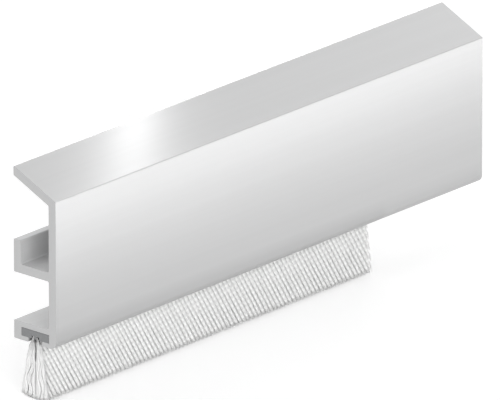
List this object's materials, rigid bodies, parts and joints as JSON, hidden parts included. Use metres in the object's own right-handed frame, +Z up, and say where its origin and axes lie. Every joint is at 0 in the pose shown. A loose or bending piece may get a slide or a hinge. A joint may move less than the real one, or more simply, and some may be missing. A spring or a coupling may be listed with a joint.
{
  "type": "brush door sweep",
  "caption": "Door bottom profile with a sloping top flange, a hooked rear leg and a slotted foot that holds a strip brush of fanned, leaning bristles.",
  "frame": {"origin": "middle of the brush carrier's door-side face, the lowest band that bears on the door", "axes": "+X along the profile away from the end that the brush is flush with, +Y out of the back towards the door, +Z up"},
  "size_m": [0.1666, 0.0143, 0.0616],
  "materials": {
    "satin_aluminium": "satin anodised, drawn lengthways",
    "backing_plastic": "matt extruded plastic",
    "bristles": "crimped translucent white filaments"
  },
  "bodies": {
    "root": {"carrier_profile": "satin_aluminium", "brush_backing": "backing_plastic", "front_bristle_row": "bristles", "rear_bristle_row": "bristles"}
  },
  "joints": []
}
